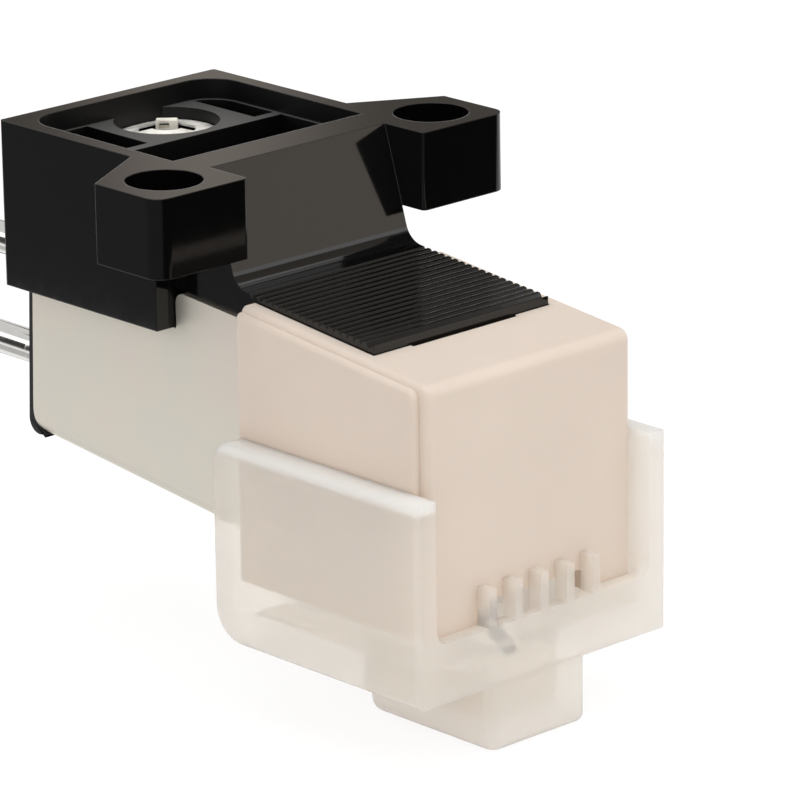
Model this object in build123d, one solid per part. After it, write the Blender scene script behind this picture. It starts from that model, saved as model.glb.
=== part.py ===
from build123d import *
import os
from math import radians, tan

# Turntable cartridge for a half-inch headshell, with a pull-off stylus and a slide-on stylus guard.
# Millimetres. Origin: midway between the two mounting holes, on the top face that meets the headshell.
# +X is to the right seen from the front, the stylus end faces -Y, the terminal pins face +Y, +Z is up.

# Mounting holes and the moulded block that carries them
hole_spacing = 12.7
hole_diameter = 2.75
block_width = 10.28
block_rear = 10.44
block_front = 0.10
block_height = 6.17
skirt_front = 2.02
ear_rim = 0.60
ear_gap = 8.34
ear_front = -1.91
ear_side_end = 1.36
ear_root = 3.17
ear_depth = 2.88
ear_radius = 0.6
ear_inner_radius = 0.18
edge_round = 0.12

# Recess in the top of the block, with its raised land, deep pockets and round well
recess_wall = 0.62
recess_front_wall = 1.55
recess_depth = 0.77
recess_corner = 1.35
land_width = 5.12
land_offset = 0.90
front_pocket_length = 4.25
crossbar_width = 0.43
pocket_depth = 1.6
pocket_ledge = 0.10
well_radius = 1.95
well_y = 8.25
well_depth = 0.70

# Front slope and the ribbed thumb plate that runs forward over the stylus holder
slope_lean = 16.7
slope_blend = 0.85
nose_angle = 4.9
plate_drop = 4.02
plate_front = -8.15
plate_thickness = 0.90
rib_pitch = 0.345
rib_depth = 0.15
rib_first = 0.03
rib_margin = 0.15

# Front bulkhead below the plate, with the socket for the stylus tongue
bulkhead_gap = 0.39
bulkhead_front = -1.9
tongue_width = 3.2
tongue_height = 1.4
tongue_drop = 7.0
tongue_length = 5.4

# Folded screening can and the rear cap that closes it
can_width = 8.58
can_gauge = 0.30
can_rear = 9.93
can_rear_lean = 2.4
can_front = -3.2
can_floor_drop = 12.97
can_floor_angle = 6.1
can_lip_gap = 0.10
can_corner = 1.0
can_lip_corner = 0.4
can_fold = 0.5
cap_flange = 0.28
cap_wrap = 0.22
cap_insert = 0.55

# Terminal pins
pin_diameter = 1.2
pin_root_diameter = 0.84
pin_collar_diameter = 1.54
pin_collar_length = 1.7
pin_inset = 1.39
pin_upper_rise = 0.77
pin_lower_step = 3.13
pin_rear = 15.3
pin_root = 1.3
pin_point = 0.2

# Coils on their bobbins, cores and rear yoke
coil_x = 1.7
coil_radius = 1.35
coil_front = 4.3
coil_rear_gap = 1.43
bobbin_wall = 0.25
bobbin_flange = 1.5
flange_thickness = 0.3
core_width = 0.7
core_height = 0.8
core_knee_y = 3.3
core_toe_y = 2.15
pole_tip_y = -2.9
pole_tip_drop = 10.5
yoke_thickness = 0.45
yoke_height = 1.6

# Retaining washer and the earth tab that it grips
washer_gauge = 0.14
washer_dish = 0.08
washer_hole = 0.62
washer_slot = 0.34
tab_width = 0.85
tab_gauge = 0.22
tab_stand = 0.78
tab_root = 0.8
tab_depth = 0.5
tab_turn = -43.0

# Stylus holder
holder_wall = 0.5
holder_front = -11.5
holder_rear = -2.2
holder_top_drop = 4.42
holder_angle = 5.9
holder_bottom_drop = 14.4
holder_brow = 0.42
holder_edge = 0.22
pad_rise = 0.25
pad_top_gap = 0.19
pad_front_gap = 0.42
pad_corner = 0.4
pad_edge = 0.18
crosswall_rear = -4.2
crosswall_thickness = 1.2
chamber_wall = 0.95
holder_front_wall = 1.0
chamber_roof_drop = 7.2
notch_width = 5.2
notch_height = 0.85
relief_width = 5.0
relief_depth = 0.13

# Cantilever, its pivot and what rides on it
pivot_drop = 12.2
tip_y = -10.1
tip_drop = 16.05
sleeve_radius = 1.0
sleeve_bore = 0.72
sleeve_length = 1.8
damper_length = 0.7
cantilever_radius = 0.35
cantilever_tip_radius = 0.24
cantilever_tail = 2.3
flat_length = 0.75
flat_thickness = 0.26
diamond_radius = 0.10
diamond_length = 0.62
diamond_cone = 0.22
magnet_radius = 0.25
magnet_length = 1.1
magnet_back = 2.0
magnet_lean = 45.0

# Stylus guard
guard_wall = 0.85
guard_tip_reach = 0.65
guard_tail = 0.55
guard_top_drop = 9.1
guard_edge = 0.25
guard_rear_corner = 1.3
guard_top_corner = 0.9
guard_floor = 1.0
guard_floor_gap = 1.05
guard_floor_setback = 1.2
guard_slot = 3.2
lip_rise = 2.15
lip_corner = 0.5
pocket_wall = 0.75
pocket_length = 6.25
pocket_tip_depth = 3.0
pocket_tip_gap = 0.9
pocket_floor = 0.65
pocket_front_wall = 0.9
pocket_round = 0.5
pocket_edge = 0.3
grip_rib_count = 5
grip_rib_pitch = 1.25
grip_rib_width = 0.36
grip_rib_height = 1.4

# Clearances
press_gap = 0.02
seat_gap = 0.05
slide_gap = 0.06
pivot_gap = 0.03
beyond = 3.0

# Sizes that follow from the ones above
ear_outer = (hole_spacing + hole_diameter) / 2 + ear_rim
can_inner = can_width / 2 - can_gauge
bulkhead_half = can_inner - bulkhead_gap
coil_rear = can_rear - coil_rear_gap
pin_x = can_width / 2 - pin_inset
pin_upper_z = -block_height + pin_upper_rise
pin_lower_z = -block_height - pin_lower_step
holder_half = can_width / 2 + slide_gap + holder_wall
chamber_front = holder_front + holder_front_wall
crosswall_front = crosswall_rear - crosswall_thickness
pivot_y = (crosswall_rear + crosswall_front) / 2
guard_inner = holder_half + pad_rise + seat_gap
guard_outer = guard_inner + guard_wall
guard_front = holder_front - guard_tip_reach
guard_rear = holder_rear + guard_tail
guard_bottom = -holder_bottom_drop - guard_floor_gap - guard_floor
lip_top = guard_bottom + lip_rise
lip_rear = holder_front - seat_gap
pocket_bottom = -tip_drop - pocket_tip_depth
pocket_inner_front = tip_y - pocket_tip_gap
pocket_front = pocket_inner_front - pocket_front_wall
pocket_rear = pocket_front + pocket_length
pocket_half = guard_slot / 2 + pocket_wall


def span_box(x_span, y_span, z_span):
    """Box between the two ends given along each axis."""
    sizes = [abs(span[1] - span[0]) for span in (x_span, y_span, z_span)]
    middles = [(span[0] + span[1]) / 2 for span in (x_span, y_span, z_span)]
    return Pos(*middles) * Box(*sizes)


def side_prism(outline, half_width):
    """Solid across the middle plane, from (y, z) points or a curve drawn in them."""
    curve = Polyline(*outline, close=True) if isinstance(outline, list) else outline
    return extrude(Plane.YZ * make_face(curve), amount=half_width, both=True)


def rod_along_y(radius, rear, front, x, z):
    """Round rod parallel to Y between two y values."""
    turned = Location((x, (rear + front) / 2, z), (90, 0, 0))
    return turned * Cylinder(radius, abs(rear - front))


def cross_edges(part, y, z):
    """Edges that run straight across X at one (y, z) place."""
    def is_there(edge):
        middle = edge.center()
        return abs(middle.Y - y) < 1e-3 and abs(middle.Z - z) < 1e-3
    return part.edges().filter_by(Axis.X).filter_by(is_there)


def long_low_edges(part):
    """The two lowest edges that run from the front to the rear."""
    runs = part.edges().filter_by(lambda edge: abs(edge.tangent_at().Y) > 0.9)
    return runs.sort_by(Axis.Z)[:2]


def plate_top(y):
    """Height of the thumb plate's crests: it falls towards the front at the nose angle."""
    return -plate_drop + y * tan(radians(nose_angle))


def plate_under(y):
    """Height of the thumb plate's flat underside."""
    return plate_top(y) - plate_thickness


def holder_top(y):
    """Height of the stylus holder's top, which falls a little faster than the thumb plate."""
    return -holder_top_drop + (y - holder_rear) * tan(radians(holder_angle))


def can_floor(y):
    """Height of the screening can's outer floor, which falls towards the front."""
    return -can_floor_drop + y * tan(radians(can_floor_angle))


def can_back(z):
    """Place of the screening can's rear edge, which leans back as it goes down."""
    return can_rear + (-block_height - z) * tan(radians(can_rear_lean))


def can_lip(y):
    """Height of the raised edge at the front of the screening can, just below the thumb plate."""
    return plate_under(y) - can_lip_gap


def coil_level():
    """Height of the coils' axis, midway between the block and the can's floor."""
    return (can_floor(coil_rear) + can_gauge - block_height) / 2


def tongue_outline(gap, front, rear):
    """Side outline of the stylus tongue, or with a gap of its socket, parallel to the plate."""
    top = -tongue_drop + gap
    bottom = -tongue_drop - tongue_height - gap
    rise = (rear - front) * tan(radians(nose_angle))
    fall = (front - crosswall_rear) * tan(radians(nose_angle))
    upper = [(front, top + fall), (rear, top + fall + rise)]
    return upper + [(rear, bottom + fall + rise), (front, bottom + fall)]


def core_outline(gap, rear):
    """Side outline of a pole core: a level leg in the coil, a knee and a leg along the nose angle."""
    half = core_height / 2 + gap
    level = coil_level()
    toe = -pole_tip_drop + (core_toe_y - pole_tip_y) * tan(radians(nose_angle))
    line = [(rear, level), (core_knee_y, level), (core_toe_y, toe), (pole_tip_y - gap, -pole_tip_drop)]
    upper = [(y, z + half) for y, z in line]
    lower = [(y, z - half) for y, z in reversed(line)]
    return upper + lower


def nose_corner():
    """Place where the line of the front slope meets the line of the thumb plate."""
    lean, fall = tan(radians(slope_lean)), tan(radians(nose_angle))
    z = (block_front * fall - plate_drop) / (1 - lean * fall)
    return (block_front + z * lean, z)


def plate_root():
    """Place along Y where the hollow round at the foot of the slope ends and the plate begins."""
    turn = radians(90 - slope_lean - nose_angle)
    return nose_corner()[0] - slope_blend * tan(turn / 2)


def plate_ribs():
    """Crest and valley points of the ribs on top of the thumb plate, from the root to the front."""
    points = []
    rib_count = int((plate_root() - plate_front - rib_first - rib_margin) / rib_pitch)
    for index in range(rib_count):
        crest = plate_root() - rib_first - index * rib_pitch
        crest_end = crest - 0.4 * rib_pitch
        valley = crest - 0.7 * rib_pitch
        points += [(crest, plate_top(crest)), (crest_end, plate_top(crest_end))]
        points.append((valley, plate_top(valley) - rib_depth))
    return points


def nose_solid():
    """Front slope, the hollow round at its foot and the ribbed thumb plate in one side outline."""
    rear = skirt_front + seat_gap
    outline = [(block_front, 0), nose_corner(), *plate_ribs()]
    outline += [(plate_front, plate_top(plate_front)), (plate_front, plate_under(plate_front))]
    outline += [(rear, plate_under(rear)), (rear, 0)]
    nose = side_prism(outline, ear_gap / 2)
    return fillet(cross_edges(nose, *nose_corner()), slope_blend)


def ear_solid():
    """Right-hand mounting ear with its slanted rear edge and rounded front corners."""
    inner = ear_gap / 2
    plan = [(inner, ear_front), (ear_outer, ear_front), (ear_outer, ear_side_end)]
    plan += [(block_width / 2, ear_root), (inner, ear_root)]
    ear = extrude(Pos(0, 0, -ear_depth) * make_face(Polyline(*plan, close=True)), amount=ear_depth)
    for place, radius in ((-1, ear_radius), (0, ear_inner_radius)):
        front_edges = ear.edges().filter_by(Axis.Z).group_by(Axis.Y)[0]
        ear = fillet(front_edges.sort_by(Axis.X)[place], radius)
    return ear


def top_recess():
    """Everything sunk into the top: the shallow recess, its deep pockets and the round well."""
    half = block_width / 2 - recess_wall
    front, rear = block_front + recess_front_wall, block_rear - recess_wall
    recess = span_box((-half, half), (front, rear), (-recess_depth, beyond))
    recess = fillet(recess.edges().filter_by(Axis.Z).group_by(Axis.Y)[-1], recess_corner)
    floor, deep = -recess_depth + beyond, -recess_depth - pocket_depth
    edge, back = half - pocket_ledge, rear - pocket_ledge
    bar_front = front + front_pocket_length
    bar_rear = bar_front + crossbar_width
    land_left, land_right = land_offset - land_width / 2, land_offset + land_width / 2
    pockets = [
        span_box((-edge, edge), (front + pocket_ledge, bar_front), (deep, floor)),
        span_box((-edge, land_left), (bar_rear, back), (deep, floor)),
        span_box((land_right, edge), (bar_rear, back), (deep, floor)),
    ]
    corner_wall = offset_corner(half, rear)
    deep_pockets = [pocket & corner_wall for pocket in pockets]
    well_top = -recess_depth + beyond
    well_bottom = -recess_depth - well_depth
    well = Pos(land_offset, well_y, well_bottom) * Cylinder(well_radius, 2 * (well_top - well_bottom))
    well = well & span_box((-half, half), (front, rear), (well_bottom, 0))
    slot = span_box((-tab_width / 2 - press_gap, tab_width / 2 + press_gap),
                    (-tab_depth / 2 - press_gap, tab_depth / 2 + press_gap),
                    (well_bottom - tab_root, well_bottom + press_gap))
    return [recess, *deep_pockets, well, well_place() * slot]


def well_place():
    """Middle of the round well, turned as the earth tab stands in it."""
    return Pos(land_offset, well_y, 0) * Rot(0, 0, tab_turn)


def offset_corner(half, rear):
    """Inside of the recess walls less the pocket ledge, which keeps the pockets off the round corners."""
    inner = half - pocket_ledge
    shape = span_box((-inner, inner), (block_front, rear - pocket_ledge), (-block_height, beyond))
    return fillet(shape.edges().filter_by(Axis.Z).group_by(Axis.Y)[-1], recess_corner - pocket_ledge)


def bulkhead_solid():
    """Front wall inside the can, with the tongue socket and a hole for each pole core."""
    top = plate_thickness / 3
    outline = [(y, plate_under(y) + top) for y in (skirt_front + seat_gap, bulkhead_front)]
    floor_gap = can_gauge + seat_gap
    outline += [(y, can_floor(y) + floor_gap) for y in (bulkhead_front, skirt_front)]
    outline += [(skirt_front, -block_height), (skirt_front + seat_gap, -block_height)]
    bulkhead = side_prism(outline, bulkhead_half)
    socket_rear = crosswall_rear + tongue_length + slide_gap
    socket_side = tongue_outline(slide_gap, bulkhead_front - beyond, socket_rear)
    socket = side_prism(socket_side, tongue_width / 2 + slide_gap)
    holes = [
        Pos(side * coil_x, 0, 0) * side_prism(core_outline(seat_gap, block_rear), core_width / 2 + seat_gap)
        for side in (-1, 1)
    ]
    return bulkhead - socket - holes


def make_mounting_body():
    """Black moulding: block, two ears, front slope, ribbed thumb plate and bulkhead in one piece."""
    half = block_width / 2
    block = span_box((-half, half), (skirt_front, block_rear), (-block_height, 0))
    block = fillet(block.edges().filter_by(Axis.Z).group_by(Axis.Y)[-1], edge_round)
    bridge = span_box((-half, half), (block_front, skirt_front), (-ear_depth, 0))
    ear = ear_solid()
    body = block + bridge + ear + mirror(ear, about=Plane.YZ) + nose_solid() + bulkhead_solid()
    for hollow in top_recess():
        body -= hollow
    for side in (-1, 1):
        hole = Cylinder(hole_diameter / 2, ear_depth + beyond)
        body -= Pos(side * hole_spacing / 2, 0, -ear_depth / 2) * hole
        body -= rod_along_y(pin_root_diameter / 2 + press_gap, block_rear + beyond,
                            block_rear - pin_root - press_gap, side * pin_x, pin_upper_z)
    return body


def can_heel():
    """Lower rear corner point of the screening can before it is rounded."""
    y = can_back(can_floor(can_rear))
    return (y, can_floor(y))


def can_outline():
    """Corner points of the screening can in the side view."""
    lip_rear = skirt_front - seat_gap
    top = -block_height - seat_gap
    outline = [(can_back(top), top), (lip_rear, top), (lip_rear, can_lip(lip_rear))]
    return outline + [(can_front, can_lip(can_front)), (can_front, can_floor(can_front)), can_heel()]


def can_blank():
    """Outer form of the screening can with its side-view corners rounded, not yet folded or hollowed."""
    lip_rear = skirt_front - seat_gap
    blank = side_prism(can_outline(), can_width / 2)
    blank = fillet(cross_edges(blank, *can_heel()), can_corner)
    return fillet(cross_edges(blank, lip_rear, can_lip(lip_rear)), can_lip_corner)


def make_screening_can():
    """Folded sheet: two sides and a floor, open at the front, the top and the rear."""
    folded = side_prism(can_outline(), can_width / 2)
    folded = fillet(long_low_edges(folded), can_fold)
    inside = [(can_rear + beyond, 0), (can_front - beyond, 0)]
    inside += [(can_front - beyond, can_floor(can_front - beyond) + can_gauge)]
    inside += [(can_rear + beyond, can_floor(can_rear + beyond) + can_gauge)]
    hollow = side_prism(inside, can_inner)
    hollow = fillet(long_low_edges(hollow), can_fold - can_gauge)
    return (folded & can_blank()) - hollow


def make_rear_cap():
    """Black cap behind the can: a flange that wraps its rounded corner and an insert between its sides."""
    top = -block_height - seat_gap
    heel_y, heel_z = can_heel()
    long_front = can_rear - 3 * can_corner
    outline = [(can_back(top) + cap_flange, top), (long_front, top)]
    outline += [(long_front, can_floor(long_front) - cap_flange), (heel_y + cap_flange, heel_z - cap_flange)]
    flange = side_prism(outline, can_width / 2)
    flange = fillet(cross_edges(flange, heel_y + cap_flange, heel_z - cap_flange), can_corner + cap_flange)
    flange -= can_blank()
    rear_zone = (can_rear - cap_wrap, can_rear + beyond)
    flange &= span_box((-can_width, can_width), rear_zone, (-2 * can_floor_drop, 0))
    half = can_inner - seat_gap
    insert_bottom = can_floor(can_rear - cap_insert) + can_gauge + seat_gap + can_corner / 2
    insert_zone = (can_rear - cap_insert, can_rear + cap_flange / 2)
    insert = span_box((-half, half), insert_zone, (insert_bottom, top))
    cap = flange + insert
    for side in (-1, 1):
        cap -= rod_along_y(pin_root_diameter / 2 + press_gap, can_rear + beyond, can_rear - beyond,
                           side * pin_x, pin_lower_z)
    return cap


def make_pin(side, z, wall_rear, root):
    """Terminal pin: a thin root in its wall, a collar behind the wall and a free end with a blunt point."""
    x = side * pin_x
    shoulder = wall_rear + pin_collar_length
    shaft = rod_along_y(pin_diameter / 2, pin_rear, shoulder, x, z)
    shaft = chamfer(shaft.edges().group_by(Axis.Y)[-1], pin_point)
    collar = rod_along_y(pin_collar_diameter / 2, shoulder, wall_rear + seat_gap, x, z)
    return shaft + collar + rod_along_y(pin_root_diameter / 2, shoulder, wall_rear - root, x, z)


def make_core(side):
    """Pole core of one channel, from the yoke through the coil to its tip beside the magnet."""
    outline = core_outline(0, coil_rear + flange_thickness)
    return Pos(side * coil_x, 0, 0) * side_prism(outline, core_width / 2)


def make_bobbin(side):
    """Spool of one coil: a tube with two flanges and a square hole for the core."""
    rear, front = coil_rear + flange_thickness - press_gap, coil_front - flange_thickness
    x, z = side * coil_x, coil_level()
    tube_radius = (core_width + core_height) / 2 * 0.75 + bobbin_wall
    spool = rod_along_y(tube_radius, rear, front, x, z)
    spool += rod_along_y(bobbin_flange, rear, coil_rear, x, z)
    spool += rod_along_y(bobbin_flange, coil_front, front, x, z)
    hole = side_prism(core_outline(press_gap, block_rear), core_width / 2 + press_gap)
    return spool - Pos(x, 0, 0) * hole


def make_coil(side):
    """Winding of one channel, a plain ring of wire between the bobbin's flanges."""
    x, z = side * coil_x, coil_level()
    tube_radius = (core_width + core_height) / 2 * 0.75 + bobbin_wall
    winding = rod_along_y(coil_radius, coil_rear - press_gap, coil_front + press_gap, x, z)
    return winding - rod_along_y(tube_radius + press_gap, coil_rear, coil_front, x, z)


def make_rear_yoke():
    """Strip that joins the rear ends of the two cores."""
    front = coil_rear + flange_thickness + press_gap
    half = coil_x + core_width / 2
    z_span = (coil_level() - yoke_height / 2, coil_level() + yoke_height / 2)
    return span_box((-half, half), (front, front + yoke_thickness), z_span)


def make_retaining_washer():
    """Dished push-on washer in the well, with two slots beside the tab that it grips."""
    floor = -recess_depth - well_depth
    outer, inner = well_radius - seat_gap, washer_hole
    rim_under = floor + washer_dish
    dish = [(inner, floor), (inner, floor + washer_gauge)]
    dish += [(outer, rim_under + washer_gauge), (outer, rim_under)]
    washer = revolve(Plane.XZ * make_face(Polyline(*dish, close=True)), Axis.Z)
    arm = (inner + outer) / 2 + washer_slot
    washer -= span_box((-arm, arm), (-washer_slot / 2, washer_slot / 2), (floor - beyond, floor + beyond))
    gate_half = tab_width / 2 + seat_gap
    washer -= span_box((-gate_half, gate_half), (-tab_depth / 2 - seat_gap, tab_depth / 2 + seat_gap),
                       (floor - beyond, floor + beyond))
    rear_wall = block_rear - recess_wall - seat_gap
    washer = well_place() * washer
    return washer & span_box((-block_width, block_width), (block_front, rear_wall), (floor - beyond, 0))


def make_earth_tab():
    """Bent tinned strip that stands up through the washer: two legs and a bridge on top."""
    floor = -recess_depth - well_depth
    top, bottom = floor + tab_stand, floor - tab_root + press_gap
    half = tab_width / 2
    strip = span_box((-half, half), (-tab_depth / 2, tab_depth / 2), (bottom, top))
    strip = fillet(strip.edges().filter_by(Axis.Y).group_by(Axis.Z)[-1], tab_gauge / 2)
    inside = half - tab_gauge
    window = span_box((-inside, inside), (-tab_depth, tab_depth), (floor + washer_gauge, top - tab_gauge))
    return well_place() * (strip - window)


def cantilever_plane():
    """Plane at the pivot whose normal runs along the cantilever to the stylus tip."""
    forward = (0, tip_y - pivot_y, pivot_drop - tip_drop)
    return Plane(origin=(0, pivot_y, -pivot_drop), x_dir=(1, 0, 0), z_dir=forward)


def cantilever_length():
    """Distance from the pivot to the stylus tip's place on the cantilever."""
    return ((tip_y - pivot_y) ** 2 + (tip_drop - pivot_drop) ** 2) ** 0.5


def along(start, end):
    """Place on the cantilever's axis midway between two distances from the pivot."""
    return cantilever_plane() * Pos(0, 0, (start + end) / 2)


def holder_shell():
    """Outer form of the stylus holder with its raised side pads, still solid."""
    outline = [(holder_rear, holder_top(holder_rear)), (holder_front, holder_top(holder_front))]
    outline += [(holder_front, -holder_bottom_drop), (holder_rear, -holder_bottom_drop)]
    shell = side_prism(outline, holder_half)
    shell = fillet(cross_edges(shell, holder_front, holder_top(holder_front)), holder_brow)
    sides = shell.faces().filter_by(Axis.X)
    low, back = -holder_bottom_drop + holder_edge, holder_rear - holder_edge
    rims = [edge for face in sides for edge in face.edges()
            if edge.center().Z > low and edge.center().Y < back]
    shell = fillet(rims, holder_edge)
    pad_front = holder_front + pad_front_gap
    pad_outline = [(y, holder_top(y) - pad_top_gap) for y in (holder_rear, pad_front)]
    pad_outline += [(pad_front, -holder_bottom_drop), (holder_rear, -holder_bottom_drop)]
    pads = side_prism(pad_outline, holder_half + pad_rise)
    pads = fillet(cross_edges(pads, pad_front, holder_top(pad_front) - pad_top_gap), pad_corner)
    pad_sides = pads.faces().filter_by(Axis.X)
    pad_rims = [edge for face in pad_sides for edge in face.edges()
                if edge.center().Z > low and edge.center().Y < back]
    return shell + fillet(pad_rims, pad_edge)


def make_stylus_holder():
    """Cream hood, slotted for the thumb plate, open behind and below, with a pivot wall and a tongue."""
    holder = holder_shell()
    deep = -holder_bottom_drop - beyond
    slot_front, slot_rear = plate_front - slide_gap, holder_rear + beyond
    bay = [(y, plate_under(y)) for y in (crosswall_rear, slot_rear)]
    bay += [(slot_rear, deep), (crosswall_rear, deep)]
    holder -= side_prism(bay, can_width / 2 + slide_gap)
    slot = [(slot_front, beyond), (slot_rear, beyond), (slot_rear, plate_under(slot_rear) - slide_gap)]
    slot += [(slot_front, plate_under(slot_front) - slide_gap)]
    holder -= side_prism(slot, ear_gap / 2 + slide_gap)
    relief_front = slot_front - relief_depth
    relief_floor = plate_under(relief_front) - slide_gap
    holder -= span_box((-relief_width / 2, relief_width / 2), (relief_front, slot_front + seat_gap),
                       (relief_floor, beyond))
    chamber = holder_half - chamber_wall
    holder -= span_box((-chamber, chamber), (chamber_front, crosswall_front), (deep, -chamber_roof_drop))
    notch_top = -holder_bottom_drop + notch_height
    notch_half = notch_width / 2
    notch = span_box((-notch_half, notch_half), (holder_front - beyond, chamber_front), (deep, notch_top))
    holder -= fillet(notch.edges().filter_by(Axis.Y).group_by(Axis.Z)[-1], notch_height / 2)
    tongue = tongue_outline(0, crosswall_rear, crosswall_rear + tongue_length)
    holder += side_prism(tongue, tongue_width / 2)
    bore = along(-sleeve_length, sleeve_length) * Cylinder(sleeve_radius + press_gap, 3 * sleeve_length)
    return holder - bore


def make_pivot_sleeve():
    """Short metal tube in the pivot wall that holds the damper."""
    ring = Cylinder(sleeve_radius, sleeve_length) - Cylinder(sleeve_bore, sleeve_length)
    return along(0, 0) * ring


def make_damper():
    """Rubber ring that carries the cantilever in the sleeve."""
    hole = Cylinder(cantilever_radius + 2 * pivot_gap, damper_length)
    return along(0, 0) * (Cylinder(sleeve_bore - pivot_gap, damper_length) - hole)


def make_cantilever():
    """Tapered moulded rod with a straight tail for the magnets and a flattened end for the diamond."""
    reach = cantilever_length()
    start, end = damper_length, reach + flat_length / 2
    tail = along(-cantilever_tail, start) * Cylinder(cantilever_radius, cantilever_tail + start)
    rod = tail + along(start, end) * Cone(cantilever_radius, cantilever_tip_radius, end - start)
    flat = Box(4 * cantilever_radius, cantilever_radius * 2, flat_length)
    for side in (-1, 1):
        shift = side * (flat_thickness / 2 + cantilever_radius)
        rod -= along(reach - flat_length / 2, reach + flat_length / 2) * Pos(0, shift, 0) * flat
    seat = Pos(0, tip_y, -tip_drop) * Cylinder(diamond_radius + press_gap, diamond_length + beyond)
    return rod - seat


def make_stylus_tip():
    """Diamond: a round shank set upright through the cantilever, ground to a cone below."""
    shank_length = diamond_length - diamond_cone
    top = -tip_drop + flat_thickness
    cone_top = top - shank_length
    shank = Pos(0, tip_y, (top + cone_top) / 2) * Cylinder(diamond_radius, shank_length)
    cone = Cone(diamond_radius / 6, diamond_radius, diamond_cone)
    return shank + Pos(0, tip_y, cone_top - diamond_cone / 2) * cone


def make_magnet(side):
    """Rod magnet of one channel, leaning outwards from the cantilever's tail."""
    lean = Location((0, 0, 0), (-90, 0, 0))
    turn = Location((0, 0, 0), (0, 0, -side * magnet_lean))
    out = cantilever_radius + press_gap + magnet_length / 2 + magnet_radius * 0.25
    rod = turn * Pos(0, out, 0) * lean * Cylinder(magnet_radius, magnet_length)
    return along(-magnet_back, -magnet_back) * rod


def guard_frame():
    """Side-view form of the guard without its pocket, rounded at both rear corners."""
    corners = [(guard_rear, -guard_top_drop), (guard_front, -guard_top_drop)]
    corners += [(guard_front, guard_bottom), (guard_rear, guard_bottom)]
    frame = side_prism(corners, guard_outer)
    frame = fillet(cross_edges(frame, guard_rear, guard_bottom), guard_rear_corner)
    return fillet(cross_edges(frame, guard_rear, -guard_top_drop), guard_top_corner)


def guard_wall_solid():
    """Right-hand side wall of the guard, with a softened outer edge all round."""
    wall = guard_frame() & span_box((guard_inner, guard_outer), (guard_front, guard_rear),
                                    (guard_bottom, -guard_top_drop))
    outer_face = wall.faces().sort_by(Axis.X)[-1]
    return fillet(outer_face.edges(), guard_edge)


def guard_lip(reach):
    """Front lip between the walls, with hollow corners where its top runs up into them."""
    lip = span_box((-reach, reach), (guard_front, lip_rear), (guard_bottom, lip_top + lip_corner))
    gap = span_box((-guard_inner, guard_inner), (guard_front - beyond, lip_rear + beyond),
                   (lip_top, lip_top + beyond))
    return lip - fillet(gap.edges().filter_by(Axis.Y).group_by(Axis.Z)[0], lip_corner)


def guard_pocket():
    """Pocket below the floor that hangs round the stylus tip, before it is hollowed."""
    z_span = (pocket_bottom, guard_bottom + guard_floor / 2)
    pocket = span_box((-pocket_half, pocket_half), (pocket_front, pocket_rear), z_span)
    pocket = fillet(pocket.edges().filter_by(Axis.Z).group_by(Axis.Y)[0], pocket_round)
    pocket = fillet(cross_edges(pocket, pocket_rear, pocket_bottom), pocket_round)
    return fillet(pocket.edges().group_by(Axis.Z)[0], pocket_edge)


def make_stylus_guard():
    """Milky slide-on guard: side walls, floor, front lip with upright grip ribs and the stylus pocket."""
    reach = (guard_inner + guard_outer) / 2
    floor_rear = guard_rear - guard_floor_setback
    floor = span_box((-reach, reach), (lip_rear - seat_gap, floor_rear),
                     (guard_bottom, guard_bottom + guard_floor))
    base = (guard_lip(reach) + floor) & guard_frame()
    wall = guard_wall_solid()
    guard = wall + mirror(wall, about=Plane.YZ) + base + guard_pocket()
    slot_half = guard_slot / 2
    guard -= span_box((-slot_half, slot_half), (pocket_inner_front, guard_rear + beyond),
                      (pocket_bottom + pocket_floor, lip_top))
    for index in range(grip_rib_count):
        middle = (index - (grip_rib_count - 1) / 2) * grip_rib_pitch
        x_span = (middle - grip_rib_width / 2, middle + grip_rib_width / 2)
        guard += span_box(x_span, (guard_front, lip_rear), (lip_top - edge_round, lip_top + grip_rib_height))
    return guard


def all_parts():
    """Every separate piece by its node name."""
    flange_rear = can_back(pin_lower_z) + cap_flange
    parts = {
        "mounting_body": make_mounting_body(),
        "screening_can": make_screening_can(),
        "rear_cap": make_rear_cap(),
        "rear_yoke": make_rear_yoke(),
        "retaining_washer": make_retaining_washer(),
        "earth_tab": make_earth_tab(),
        "stylus_holder": make_stylus_holder(),
        "pivot_sleeve": make_pivot_sleeve(),
        "damper": make_damper(),
        "cantilever": make_cantilever(),
        "stylus_tip": make_stylus_tip(),
        "stylus_guard": make_stylus_guard(),
    }
    for side, name in ((-1, "left"), (1, "right")):
        parts[name + "_signal_pin"] = make_pin(side, pin_upper_z, block_rear, pin_root)
        parts[name + "_return_pin"] = make_pin(side, pin_lower_z, flange_rear, cap_flange + cap_insert)
        parts[name + "_core"] = make_core(side)
        parts[name + "_bobbin"] = make_bobbin(side)
        parts[name + "_coil"] = make_coil(side)
        parts[name + "_magnet"] = make_magnet(side)
    return parts


os.makedirs("parts", exist_ok=True)
for node_name, solid in all_parts().items():
    export_step(solid, os.path.join("parts", node_name + ".step"))
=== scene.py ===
from math import cos, pi, radians, sin, tan

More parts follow.
